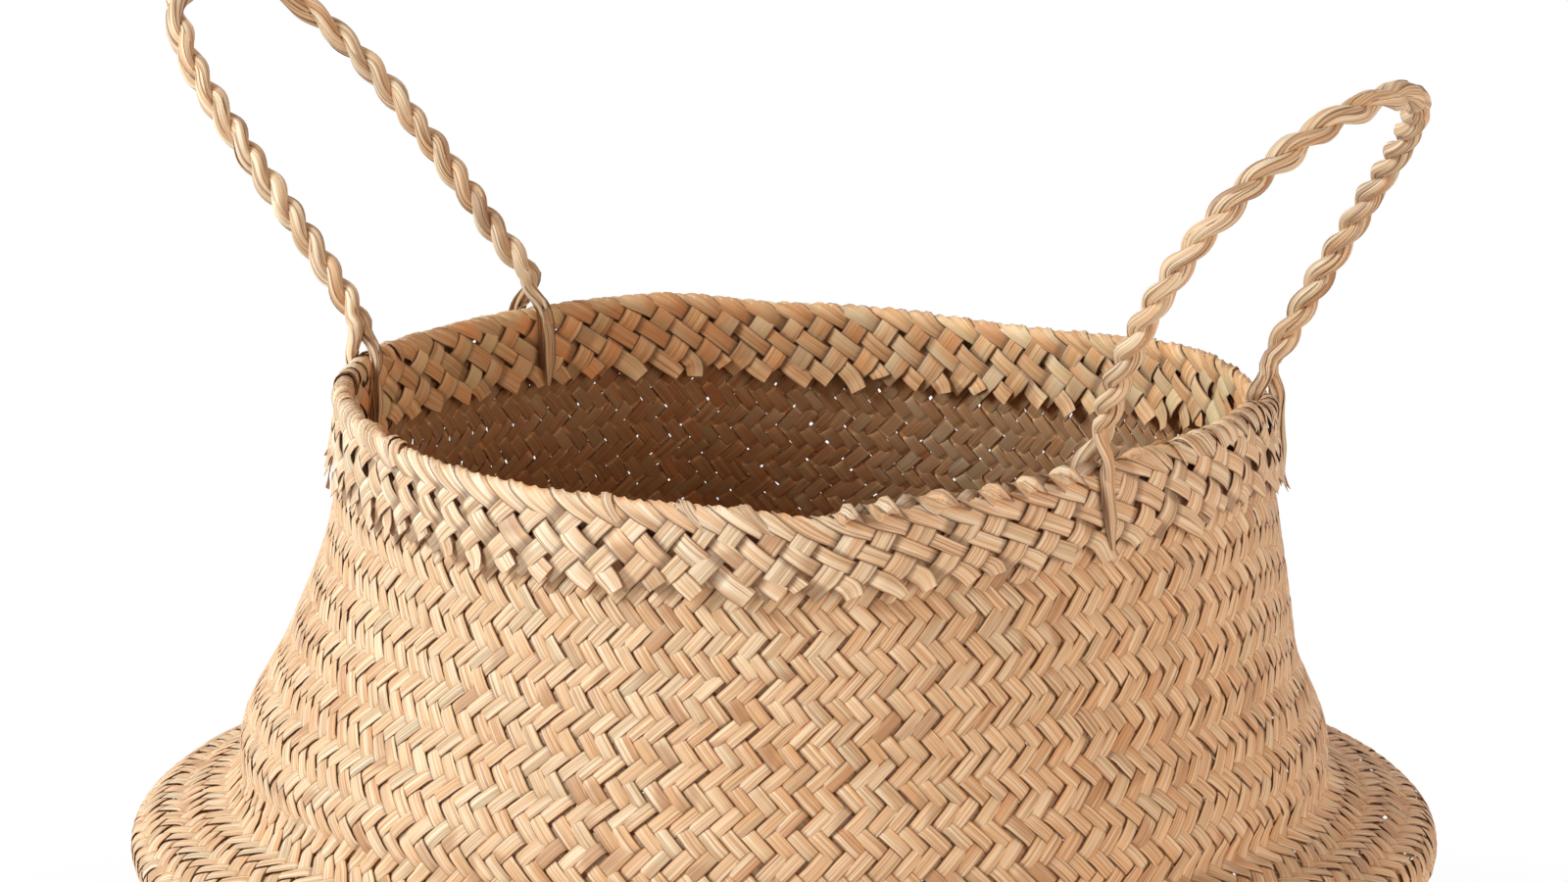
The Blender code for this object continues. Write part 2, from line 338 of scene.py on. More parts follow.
WEAVE_INPUTS = (
    ("Strands", "Int"), ("First", "Int"), ("Count", "Int"), ("Slant", "Float"), ("Float", "Float"),
    ("Over", "Float"), ("Relief", "Float"), ("Flatness", "Float"), ("Unevenness", "Float"),
    ("Wander", "Float"), ("Flare", "Float"), ("Ragged", "Float"), ("Cup", "Float"), ("Corners", "Int"),
    ("Seed", "Int"), ("Straw", "Material"))


def new_geometry_tree(name, inputs):
    """An empty Geometry Nodes tree with these named inputs after its mesh, and those inputs as values."""
    group = bpy.data.node_groups.new(name, "GeometryNodeTree")
    group.interface.new_socket("Geometry", in_out="OUTPUT", socket_type="NodeSocketGeometry")
    group.interface.new_socket("Geometry", in_out="INPUT", socket_type="NodeSocketGeometry")
    for label, kind in inputs:
        group.interface.new_socket(label, in_out="INPUT", socket_type=f"NodeSocket{kind}")
    tree = Tree(group)
    entry = group.nodes.new("NodeGroupInput")
    return tree, {socket.name: Value(tree, socket) for socket in entry.outputs if socket.name}


def vector_math(tree, operation, first, second):
    return tree.add("ShaderNodeVectorMath", {"operation": operation}, {0: first, 1: second})


def scaled(tree, vector, factor):
    return tree.add("ShaderNodeVectorMath", {"operation": "SCALE"}, {"Vector": vector, "Scale": factor})


def named(tree, name):
    """A number that each place of the mesh carries under a name."""
    return tree.add("GeometryNodeInputNamedAttribute", {"data_type": "FLOAT"}, {"Name": name}, "Attribute")


def store(tree, shape, name, value):
    return tree.add(
        "GeometryNodeStoreNamedAttribute", {"data_type": "FLOAT", "domain": "POINT"},
        {"Geometry": shape, "Name": name, "Value": value})


def random_of(tree, low, high, number, seed):
    """A random number between two limits, the same each time for one number and seed."""
    return tree.add(
        "FunctionNodeRandomValue", {"data_type": "FLOAT"},
        {"Min": low, "Max": high, "ID": number, "Seed": seed}, "Value")


def noise_of(tree, vector):
    """Smooth noise about zero, from -0.5 to 0.5, that changes within about 1 of the vector."""
    return tree.add("ShaderNodeTexNoise", None, {"Vector": vector, "Scale": 1.0, "Detail": 1.0}) - 0.5


def turned(tree, vector, angle):
    """The vector turned about the basket's upright axis."""
    return tree.add("ShaderNodeVectorRotate", {"rotation_type": "Z_AXIS"}, {
        "Vector": vector, "Angle": angle})


def line_copies(tree, given, amount, first=0):
    """The given line as so many curves, which carry their numbers from the first one on."""
    curve = tree.add("GeometryNodeMeshToCurve", None, {"Mesh": given["Geometry"]})
    curve = tree.add(
        "GeometryNodeDuplicateElements", {"domain": "SPLINE"}, {"Geometry": curve, "Amount": amount})
    return store(tree, curve, "strand", tree.other(curve, "Duplicate Index") + first)


def measured(tree, curve):
    """Lets each place of a curve know how far along it lies."""
    return store(tree, curve, "along", tree.add("GeometryNodeSplineParameter", output="Length"))


def tinted(tree, curve, seed):
    """Gives each strand a tint of its own, from 0 to 1."""
    return store(tree, curve, "tint", random_of(tree, 0.0, 1.0, named(tree, "strand"), seed))


def faced(tree, curve, facing):
    return tree.add("GeometryNodeSetCurveNormal", {"mode": "FREE"}, {"Curve": curve, "Normal": facing})


def moved_and_faced(tree, curve, place, facing):
    """Moves a curve's points, once both their places and their facings are worked out from the old ones."""
    kept = tree.add("GeometryNodeCaptureAttribute", None, {"Geometry": curve})
    node = kept.socket.node
    for name in ("Place", "Facing"):
        node.capture_items.new("VECTOR", name)
    for name, vector in (("Place", place), ("Facing", facing)):
        tree.tree.links.new(vector.socket, node.inputs[name])
    curve = tree.add("GeometryNodeSetPosition", None, {
        "Geometry": kept, "Position": tree.other(kept, "Place")})
    return faced(tree, curve, tree.other(kept, "Facing"))


def sweep_flat(tree, curve, half_width, flatness, cup, corners, straw):
    """Sweeps a flat lens-shaped section, cupped towards the wall, along curves, and ends the tree."""
    section = tree.add(
        "GeometryNodeCurvePrimitiveCircle", {"mode": "RADIUS"}, {"Resolution": corners, "Radius": 1.0})
    across = tree.add("ShaderNodeSeparateXYZ", None, {0: tree.add("GeometryNodeInputPosition")}, "X")
    thick = 0.0 - tree.other(across, "Y")
    section = store(tree, section, "across", across)
    section = store(tree, section, "corner", tree.add("GeometryNodeInputIndex"))
    across = named(tree, "across")
    bent = tree.add("ShaderNodeCombineXYZ", None, {
        "X": thick * flatness - across * across * cup, "Y": across})
    section = tree.add("GeometryNodeSetPosition", None, {"Geometry": section, "Position": bent})
    swept = tree.add(
        "GeometryNodeCurveToMesh", None,
        {"Curve": curve, "Profile Curve": section, "Scale": half_width, "Fill Caps": True})
    swept = tree.add("GeometryNodeSetMaterial", None, {"Geometry": swept, "Material": straw})
    swept = tree.add("GeometryNodeRealizeInstances", None, {"Geometry": swept})
    tree.add("NodeGroupOutput", None, {"Geometry": swept})


def weaving_tree():
    """Weaves one way's strands round a turned profile.

    Row by row each strand moves half a strand round the basket, so both ways meet at whole rows. It goes
    over, then under, as many beats as Float says, and a beat is a row but where the profile says otherwise.
    """
    tree, given = new_geometry_tree("Weave strands", WEAVE_INPUTS)
    curve = line_copies(tree, given, given["Count"], given["First"])
    strand = named(tree, "strand")
    row, beat = named(tree, "row"), named(tree, "beat")
    breadth, loose = named(tree, "breadth"), named(tree, "loose")
    seed = given["Seed"]

    def uneven(step):
        number = strand.math("FLOORED_MODULO", strand + given["Strands"] + step, given["Strands"])
        return random_of(tree, -0.5, 0.5, number, seed) * given["Unevenness"]

    width = 1 + (uneven(1) - uneven(-1)) / 2
    own = random_of(tree, -0.5, 0.5, strand, seed + 1)
    turn_loose = random_of(tree, -0.5, 0.5, strand, seed + 2)
    wander = noise_of(tree, tree.add("ShaderNodeCombineXYZ", None, {
        "X": strand * WANDER_PER_STRAND, "Y": row * WANDER_PER_ROW, "Z": given["Slant"]}))
    lift = given["Float"] / 2 - beat.math("PINGPONG", beat - given["Over"], given["Float"])
    lift = (lift * CROSSING_SLOPE).between(-1.0, 1.0)
    lift = lift * (1.5 - lift * lift * 0.5) * (1 - loose)
    flare = loose * loose * given["Flare"] * (own + LOOSE_LIFT)
    rise = lift * given["Relief"] + flare + wander * given["Relief"]
    swing = loose * turn_loose * LOOSE_SWING
    number = strand + uneven(0) + given["Slant"] * row / 2 + wander * given["Wander"] + swing
    angle = number / given["Strands"] * math.tau

    tangent = tree.add("GeometryNodeInputTangent")
    normal = vector_math(tree, "CROSS_PRODUCT", (0, 1, 0), tangent)
    place = tree.add("GeometryNodeInputPosition")
    place = vector_math(tree, "ADD", place, scaled(tree, normal, rise))
    tilt = wander * WANDER_TILT + loose * turn_loose * LOOSE_TILT + named(tree, "twist")
    curve = tree.add("GeometryNodeSetCurveTilt", None, {"Curve": curve, "Tilt": tilt})
    curve = tinted(tree, curve, seed + 3)
    # dip: how far a strand lies under a crossing one, which the material darkens as painted shade.
    curve = store(tree, curve, "dip", (1 - lift) / 2 * (1 - loose))
    curve = moved_and_faced(tree, curve, turned(tree, place, angle), turned(tree, normal, angle))
    cut = [random_of(tree, 0.0, 1.0, strand, seed + more) * given["Ragged"] for more in (4, 5)]
    curve = tree.add("GeometryNodeTrimCurve", {"mode": "FACTOR"}, {
        "Curve": curve, "Start": cut[0], "End": 1.0 - cut[1]})
    curve = measured(tree, curve)
    pointed = 1 - loose * random_of(tree, 0.0, MOST_POINTED, strand, seed + 6)
    sweep_flat(
        tree, curve, breadth * width * pointed / 2, given["Flatness"], given["Cup"], given["Corners"],
        given["Straw"])
    return tree


def grown(name, source, tree, settings):
    """A new object of what a Geometry Nodes tree makes from a source mesh, as a plain mesh."""
    piece = bpy.data.objects.new(name, source)
    bpy.context.scene.collection.objects.link(piece)
    modifier = piece.modifiers.new("Grow", "NODES")
    modifier.node_group = tree.tree
    for item in tree.tree.interface.items_tree:
        if item.item_type == "SOCKET" and item.name in settings:
            modifier[item.identifier] = settings[item.name]
    bpy.context.view_layer.update()
    made = piece.evaluated_get(bpy.context.evaluated_depsgraph_get())
    mesh = bpy.data.meshes.new_from_object(made)
    mesh.name = name
    piece.modifiers.remove(modifier)
    piece.data = mesh
    return piece


def straw_material(name, tones, creased):
    """Dry split leaf: each strand in its own tone, with long fibres and a dull sheen. Strand edges are
    darkened as painted shade in the gaps, creases and the ends of floats that dive under get painted shade,
    and inward faces get painted bounced light and shade.
    """
    material = bpy.data.materials.new(name)
    shader = new_shader(material)
    along, across, tint, dip, inward = (
        shader.add("ShaderNodeAttribute", {"attribute_name": attribute}, None, "Fac")
        for attribute in ("along", "across", "tint", "dip", "inward"))

    def fibres(per_metre, per_strand, detail=1.0, seed=0.0):
        """Noise drawn out along the leaf, another in each tint of strand."""
        where = shader.add("ShaderNodeCombineXYZ", None, {
            "X": along * per_metre, "Y": across * per_strand + seed, "Z": tint * TINT_SPREAD})
        return shader.add("ShaderNodeTexNoise", None, {
            "Vector": where, "Scale": 1.0, "Detail": detail, "Roughness": 0.6})

    def past(value, level, slope, most, least=0.0):
        """How far a value is past a level, or short of it where the slope is negative."""
        return ((value - level) * slope).between(least, most)

    def mixed(factor, color, tone, blend="MIX"):
        return shader.add("ShaderNodeMix", {"data_type": "RGBA", "blend_type": blend}, {
            "Factor": factor, "A": color, "B": (*tone, 1)}, "Result")

    stops = [(place, tones[tone]) for place, tone in TONES_BY_TINT]
    color = shader.add("ShaderNodeValToRGB", {"stops": stops}, {"Fac": tint}, "Color")
    for patch in PATCHES:
        patches = fibres(per_metre=patch["per_metre"], per_strand=0.25, seed=patch["seed"])
        patches = past(patches, patch["level"], slope=4, most=patch["most"])
        color = mixed(patches, color, tones[patch["tone"]])
    lines = fibres(per_metre=18, per_strand=6.5, detail=4.0)
    worn = past(fibres(per_metre=16, per_strand=0.5, seed=53.0), level=0.40, slope=5, least=0.40, most=1.0)
    color = mixed(past(lines, level=0.51, slope=-7, most=0.85) * worn, color, tones["line"])
    # Painted shade: thin dark lines along the leaf where it is creased, as strong as creased allows.
    creases = abs(fibres(per_metre=9, per_strand=2.4, seed=61.0) - 0.5)
    color = mixed(past(creases, level=0.045, slope=-30, most=creased), color, tones["painted_shade"])
    streaks = fibres(per_metre=14, per_strand=2.5, detail=3.0, seed=7.0)
    color = mixed(past(streaks, level=0.46, slope=4.5, most=0.85), color, tones["bleached"])
    # Painted light: a warm tint on inward faces stands in for light bounced about the basket's inside.
    color = mixed(inward, color, INWARD_PAINTED_BOUNCE, "MULTIPLY")
    # Inward faces only: random tone patches, the rust ones also painted warm shade of the inside.
    for patch in INNER_PATCHES:
        patches = fibres(per_metre=24, per_strand=0.2, seed=patch["seed"])
        patches = past(patches, patch["level"], slope=6, most=patch["most"])
        color = mixed(patches * inward, color, patch["color"])
    # Painted shade on inward faces, deeper on some strands by tint; rare real stains darken every face.
    inner_shade = tint.math("FRACT", tint * INNER_SHADE_SPREAD) * MOST_INNER_SHADE * inward
    stains = fibres(per_metre=36, per_strand=0.15, detail=0.0, seed=107.0)
    stained = past(stains, level=0.66, slope=9, most=0.55)
    color = mixed(inner_shade.math("MAXIMUM", inner_shade, stained), color, tones["line"])
    # Painted shade: each strand's edges are darkened as the gaps between strands would be shaded.
    edge = past(abs(across), level=0.86, slope=9, most=0.85)
    # Painted shade where a strand dives under a crossing one.
    painted_crossing_shade = past(dip, level=0.45, slope=1.5, most=0.6)
    color = mixed(painted_crossing_shade.math("MAXIMUM", painted_crossing_shade, edge), color, tones["painted_shade"])
    bump = shader.add("ShaderNodeBump", None, {
        "Height": lines + streaks * 0.6, "Strength": 0.6, "Distance": FIBRE_HEIGHT}, "Normal")
    surface = shader.add("ShaderNodeBsdfPrincipled", None, {
        "Base Color": color, "Roughness": DULLNESS + lines * DULLNESS_SPREAD, "Normal": bump,
        "Specular IOR Level": SHINE, "Sheen Weight": SHEEN})
    shader.add("ShaderNodeOutputMaterial", None, {"Surface": surface})
    return material


def lay_out(piece, first, count, corners):
    """A bake map in which each strand of a piece is one long band, unrolled round its section."""
    mesh = piece.data
    numbers = {}
    for attribute in ("along", "corner", "strand"):
        values = np.empty(len(mesh.vertices), np.float32)
        mesh.attributes[attribute].data.foreach_get("value", values)
        numbers[attribute] = values
    vertex = np.empty(len(mesh.loops), np.int32)
    mesh.loops.foreach_get("vertex_index", vertex)
    starts = np.empty(len(mesh.polygons), np.int32)
    mesh.polygons.foreach_get("loop_start", starts)
    face = np.searchsorted(starts, np.arange(len(vertex)), side="right") - 1
    corner = numbers["corner"][vertex]
    highest = np.maximum.reduceat(corner, starts)[face]
    corner = np.where((corner == 0) & (highest > corners / 2), corners, corner)
    band = numbers["strand"][vertex] - first
    places = np.stack([
        numbers["along"][vertex] / numbers["along"].max(), (band + corner / corners) / count], 1)
    layer = mesh.uv_layers.new(name="OFBake")
    layer.data.foreach_set("uv", places.astype(np.float32).ravel())
    for attribute in ("corner", "strand", "row", "beat", "breadth", "loose", "twist", "taper"):
        if attribute in mesh.attributes:
            mesh.attributes.remove(mesh.attributes[attribute])


def finish_straw(piece, settle=True):
    """Smooth faces with crisp strand edges, standing as the basket does, that know which look inward."""
    mesh = piece.data
    if settle:
        settled(mesh)
        places, facing = np.empty(len(mesh.vertices) * 3), np.empty(len(mesh.vertices) * 3)
        mesh.vertices.foreach_get("co", places)
        mesh.vertices.foreach_get("normal", facing)
        # How far each face looks in towards the basket's middle; the material paints bounced light and
        # shade there.
        away = places.reshape(-1, 3)[:, :2]
        inward = -(away * facing.reshape(-1, 3)[:, :2]).sum(1) / np.linalg.norm(away, axis=1)
        carry(mesh, "inward", smooth(inward, INWARD_START, INWARD_END))
    mesh.shade_smooth()
    mesh.set_sharp_from_angle(angle=math.radians(SHARP_DEGREES))


weave = weaving_tree()
woven_straw = straw_material("woven straw", STRAW, CREASED)
wall = even_line(bezier_line(WEAVE_STATIONS, CURVE_STEPS), ROW / STEPS_PER_ROW)
pitches = math.tau * wall[:, 0] / STRANDS
slants = np.arctan(2 * ROW / pitches)
rows = np.arange(len(wall)) / STEPS_PER_ROW
strand_shares = STRAND_SHARE - BELLY_OPEN * (1 - smooth(wall[:, 1], *BELLY_OPEN_HEIGHTS))
wall_profile = bare_line(
    "wall profile", [(radius, 0, height) for radius, height in wall], row=rows, beat=rows,
    breadth=pitches * np.sin(slants) * strand_shares, loose=rows * 0, twist=rows * 0)
for way, slant, over, seed in (("rising", 1.0, 2.5, 11), ("falling", -1.0, 0.5, 23)):
    for first in range(0, STRANDS, STRANDS_PER_PIECE):
        piece = grown(f"{way}_strands_{first // STRANDS_PER_PIECE + 1}", wall_profile, weave, {
            "Strands": STRANDS, "First": first, "Count": STRANDS_PER_PIECE, "Slant": slant, "Float": 2.0,
            "Over": over, "Relief": RELIEF, "Flatness": STRAND_FLATNESS, "Unevenness": STRAND_UNEVENNESS,
            "Wander": STRAND_WANDER, "Cup": STRAND_CUP, "Corners": STRAND_CORNERS, "Seed": seed,
            "Straw": woven_straw})
        finish_straw(piece)
        lay_out(piece, first, STRANDS_PER_PIECE, STRAND_CORNERS)
        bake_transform(piece)
        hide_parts("belly_wall", "neck_wall", "collar_wall")


# The base. A flat round mat of the same leaf, woven over two and under two both ways. The wall's strands
# start at its edge, and cover its cut ends.
MAT_STRANDS = 45
MAT_SPACING, MAT_STRAND_SHARE = 0.0051, 0.96
MAT_RADIUS = 0.1105
MAT_HEIGHT = 0.0010
MAT_CUP = 0.04
MAT_STEPS, MAT_STEP = 33, 2 / 3


def mat_tree():
    """Weaves one way's strands of a flat round mat, with the same beat as the wall's."""
    tree, given = new_geometry_tree("Weave mat", (
        ("Strands", "Int"), ("Spacing", "Float"), ("Radius", "Float"), ("Turn", "Float"), ("Over", "Float"),
        ("Relief", "Float"), ("Flatness", "Float"), ("Seed", "Int"), ("Straw", "Material")))
    curve = line_copies(tree, given, given["Strands"])
    number = named(tree, "strand") - (given["Strands"] - 1) / 2
    beat = named(tree, "beat")
    lift = 1 - beat.math("PINGPONG", beat + number - given["Over"], 2.0)
    place = tree.add("ShaderNodeCombineXYZ", None, {
        "X": beat * given["Spacing"], "Y": number * given["Spacing"],
        "Z": (lift * CROSSING_SLOPE).between(-1.0, 1.0) * given["Relief"]})
    curve = tree.add("GeometryNodeSetPosition", None, {
        "Geometry": curve, "Position": turned(tree, place, given["Turn"])})
    reach = tree.add("ShaderNodeVectorMath", {"operation": "LENGTH"}, {
        0: tree.add("GeometryNodeInputPosition")}, "Value")
    curve = tree.add("GeometryNodeDeleteGeometry", {"domain": "POINT"}, {
        "Geometry": curve, "Selection": reach.math("GREATER_THAN", reach, given["Radius"])})
    curve = tinted(tree, curve, given["Seed"])
    curve = measured(tree, faced(tree, curve, (0, 0, 1)))
    sweep_flat(
        tree, curve, given["Spacing"] * (MAT_STRAND_SHARE / 2), given["Flatness"], MAT_CUP, STRAND_CORNERS,
        given["Straw"])
    return tree


mat = mat_tree()
# Two corners at each place keep the strands' bends crisp.
beats = np.repeat(np.arange(-MAT_STEPS, MAT_STEPS + 1) * MAT_STEP, 2)
mat_line = bare_line("mat line", [(place, 0, 0) for place in beats], beat=beats)
for way, turn, over, seed in (("along", 0.0, 0.5, 37), ("across", math.pi / 2, 2.5, 31)):
    piece = grown(f"base_strands_{way}", mat_line, mat, {
        "Strands": MAT_STRANDS, "Spacing": MAT_SPACING, "Radius": MAT_RADIUS, "Turn": turn, "Over": over,
        "Relief": RELIEF, "Flatness": STRAND_FLATNESS, "Seed": seed, "Straw": woven_straw})
    piece.data.transform(Matrix.Translation((0, 0, MAT_HEIGHT)))
    finish_straw(piece)
    lay_out(piece, 0, MAT_STRANDS, STRAND_CORNERS)
    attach(piece, "belly")
    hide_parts("woven_base")


# The collar. At the rim the strands double up into wider strips, 80 each way, fold over, and are plaited
# plain down both faces. On the fold they lie flatter and lap like shingles; their cut ends hang and curl.
STRIPS = 80
PLAIT_ROW = 0.0054
PLAIT_STEPS = 6
COLLAR_STATIONS = (
    (0.1538, 0.2588, 100), (0.1526, 0.2648, 97), (0.1506, 0.279, 96), (0.1489, 0.2903, 93),
    (0.1468, 0.2948, 180), (0.1449, 0.2903, 270), (0.1452, 0.279, 268), (0.1446, 0.2660, 268),
    (0.1444, 0.2600, 268))
COLLAR_RADIUS = 0.1485
COLLAR_CURVE_STEPS = 30
COLLAR_SKEWS = (
    (-180, 0.15), (-122, 0.05), (-78, 0.46), (8, 0.40), (60, 0.35), (110, 0.45), (150, 0.40), (180, 0.15))
RIM_DIPS = ((-180, 0), (-98, 0), (-82, 0.0032), (-52, 0.0032), (-44, 0), (180, 0))
DIP_START, DIP_END = 0.268, 0.290
FALLING_SHARE, RISING_SHARE, FOLD_SHARE = 0.86, 0.74, 1.16
FOLD_NEAR, FOLD_FAR = 0.0015, 0.0070
FOLD_SLANT, FOLD_TWIST = 0.45, 0.09
RISING_END, LOOSE_START, LOOSE_END, LOOSE_SLANT = 0.0262, 0.0225, 0.0305, 0.45
RAGGED = 0.075
PLAIT_RELIEF = 0.00060
PLAIT_FLATNESS = 0.07
PLAIT_CUP = 0.03
PLAIT_CORNERS = 10
PLAIT_UNEVENNESS, PLAIT_WANDER = 0.40, 0.16
PLAIT_CREASED = 0.35
FLARE = 0.0019
PLAIT_STRAW = {
    "pale": (0.97, 0.68, 0.42), "tan": (0.87, 0.54, 0.31), "rust": (0.72, 0.40, 0.20),
    "olive": (0.72, 0.55, 0.36), "bleached": (0.99, 0.84, 0.64), "line": (0.42, 0.21, 0.10),
    "painted_shade": (0.18, 0.08, 0.035)}


def folded_over(mesh, line, from_rim):
    """Bends a straight tube of plait, whose height counts from the rim, over the collar's two faces."""
    places = np.empty(len(mesh.vertices) * 3, np.float32)
    mesh.vertices.foreach_get("co", places)
    places = places.reshape(-1, 3)
    slope = np.gradient(line, axis=0)
    slope /= np.linalg.norm(slope, axis=1)[:, None]
    radius = np.hypot(places[:, 0], places[:, 1])
    off = radius - COLLAR_RADIUS
    columns = line[:, 0], line[:, 1], slope[:, 1], -slope[:, 0]
    at_radius, at_height, out, up = (np.interp(places[:, 2], from_rim, column) for column in columns)
    skew = round_the_rim(places[:, 0], places[:, 1], COLLAR_SKEWS)
    skewed = skew * np.clip(LOOSE_START + places[:, 2], 0, 2 * LOOSE_START) / COLLAR_RADIUS
    angle = np.arctan2(places[:, 1], places[:, 0]) - skewed
    dip = round_the_rim(places[:, 0], places[:, 1], RIM_DIPS) * smooth(at_height, DIP_START, DIP_END)
    places[:, 0] = (at_radius + off * out) * np.cos(angle)
    places[:, 1] = (at_radius + off * out) * np.sin(angle)
    places[:, 2] = at_height + off * up - dip
    mesh.vertices.foreach_set("co", places.ravel())
    mesh.update()


collar = even_line(bezier_line(COLLAR_STATIONS, COLLAR_CURVE_STEPS), PLAIT_ROW / PLAIT_STEPS)
from_rim = (np.arange(len(collar)) - collar[:, 1].argmax()) * PLAIT_ROW / PLAIT_STEPS
folded = 1 - smooth(abs(from_rim), FOLD_NEAR, FOLD_FAR)
hanging = smooth(abs(from_rim), LOOSE_START, LOOSE_END)
pace = (1 + folded * FOLD_SLANT) * (1 - hanging * (1 - LOOSE_SLANT)) / PLAIT_STEPS
collar_rows = np.cumsum(pace)
collar_rows -= collar_rows[collar[:, 1].argmax()]
collar_pitch = math.tau * COLLAR_RADIUS / STRIPS
collar_slant = math.sin(math.atan(2 * PLAIT_ROW / collar_pitch))
plaited_straw = straw_material("plaited straw", PLAIT_STRAW, PLAIT_CREASED)
for way, slant, over, share, seed in (
        ("rising", 1.0, 1.0, RISING_SHARE, 41), ("falling", -1.0, 0.0, FALLING_SHARE, 47)):
    kept = abs(from_rim) < (RISING_END if slant > 0 else LOOSE_END)
    shares = share + folded[kept] * (FOLD_SHARE - share) * (slant < 0)
    line = bare_line(
        "collar profile", [(COLLAR_RADIUS, 0, height) for height in from_rim[kept]], row=collar_rows[kept],
        beat=np.maximum(abs(collar_rows[kept]) - 1, 0), loose=hanging[kept] * (slant < 0),
        breadth=collar_pitch * collar_slant * shares, twist=folded[kept] * FOLD_TWIST * (slant < 0))
    piece = grown(f"collar_{way}_strips", line, weave, {
        "Strands": STRIPS, "First": 0, "Count": STRIPS, "Slant": slant, "Float": 1.0, "Over": over,
        "Relief": PLAIT_RELIEF, "Flatness": PLAIT_FLATNESS, "Unevenness": PLAIT_UNEVENNESS,
        "Wander": PLAIT_WANDER, "Flare": FLARE, "Ragged": RAGGED * (slant < 0), "Cup": PLAIT_CUP,
        "Corners": PLAIT_CORNERS, "Seed": seed, "Straw": plaited_straw})
    folded_over(piece.data, collar, from_rim)
    finish_straw(piece)
    lay_out(piece, 0, STRIPS, PLAIT_CORNERS)
    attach(piece, "collar")
    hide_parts("collar_outer_band", "collar_inner_band", "rim_fold")


# The lashings. Odd ends of leaf are bound over the rim where the handles are tied in, one twisted strip
# lies along the top of the front rim, and here and there a single end is folded back between the strips.
LASHED = (
    {"start": -44, "end": 12, "spacing": 2.9, "reach": 0.0066, "advance": 4.4, "width": 0.0050},
    {"start": 160, "end": 214, "spacing": 3.3, "reach": 0.0060, "advance": 3.0, "width": 0.0062},
    {"start": -112, "end": -84, "spacing": 9.5, "reach": 0.0070, "advance": 5.0, "width": 0.0042})
LASHING_STEPS = 14
LASHING_OFF, LASHING_BULGE = 0.0005, 0.0011
LASHING_STRAY, LASHING_TURN, LASHING_LEAN = 0.25, 0.7, 0.25
ADVANCE_SHARES, WIDTH_SHARES = (0.6, 1.3), (0.7, 1.2)
LASHING_CORNERS, LASHING_FLATNESS, LASHING_CUP = 8, 0.08, 0.10
LASHING_CREASED = 0.6
RIBBON_START, RIBBON_END = -84, -47
RIBBON_STEP, RIBBON_EASE = 0.4, 2
RIBBON_OFF, RIBBON_WIDTH, RIBBON_TURN = 0.0020, 0.0056, 5.6
RIBBON_LOWERED = 0.0006
COIL_ACROSS, COIL_OUT = 0.0009, 0.0015
# Where the coil's hollow far side takes painted shade.
COIL_SHADE_START, COIL_SHADE_END = -0.3, 0.8
RIBBON_WANDER, RIBBON_WAVE = 1.1, 0.31
RIBBON_END_SHARE, RIBBON_SWELL = 0.4, 1 / 9
LASHING_STRAW = {
    "pale": (0.94, 0.66, 0.42), "tan": (0.80, 0.52, 0.31), "rust": (0.66, 0.38, 0.21),
    "olive": (0.62, 0.48, 0.33), "bleached": (0.98, 0.84, 0.66), "line": (0.36, 0.18, 0.09),
    "painted_shade": (0.18, 0.08, 0.035)}


def outward_way(tree):
    """The level way out from the basket's middle at each place."""
    level = vector_math(tree, "MULTIPLY", tree.add("GeometryNodeInputPosition"), (1, 1, 0))
    return vector_math(tree, "NORMALIZE", level, (0, 0, 0))


def ribbon_tree():
    """Sweeps flat leaf along lines round the basket, facing out but for the twist that the lines carry."""
    tree, given = new_geometry_tree("Sweep ribbons", (
        ("Flatness", "Float"), ("Cup", "Float"), ("Seed", "Int"), ("Straw", "Material")))
    curve = tree.add("GeometryNodeMeshToCurve", None, {"Mesh": given["Geometry"]})
    curve = faced(tree, curve, outward_way(tree))
    curve = tree.add("GeometryNodeSetCurveTilt", None, {"Curve": curve, "Tilt": named(tree, "twist")})
    curve = tinted(tree, measured(tree, curve), given["Seed"])
    sweep_flat(
        tree, curve, named(tree, "breadth") / 2, given["Flatness"], given["Cup"], LASHING_CORNERS,
        given["Straw"])
    return tree


def heading(degrees):
    return math.cos(math.radians(degrees)), math.sin(math.radians(degrees))


chance = np.random.default_rng(5)
lashing_corners = []
lashing_numbers = {"strand": [], "breadth": [], "twist": [], "dip": []}


def add_corner(degrees, height, off, **numbers):
    """One more corner of a lashing, by degrees from the view's right and the way on from the rim."""
    across, ahead = heading(degrees + VIEW_AZIMUTH)
    lashing_corners.append(((COLLAR_RADIUS + off) * across, (COLLAR_RADIUS + off) * ahead, height))
    for name, number in numbers.items():
        lashing_numbers[name].append(number)


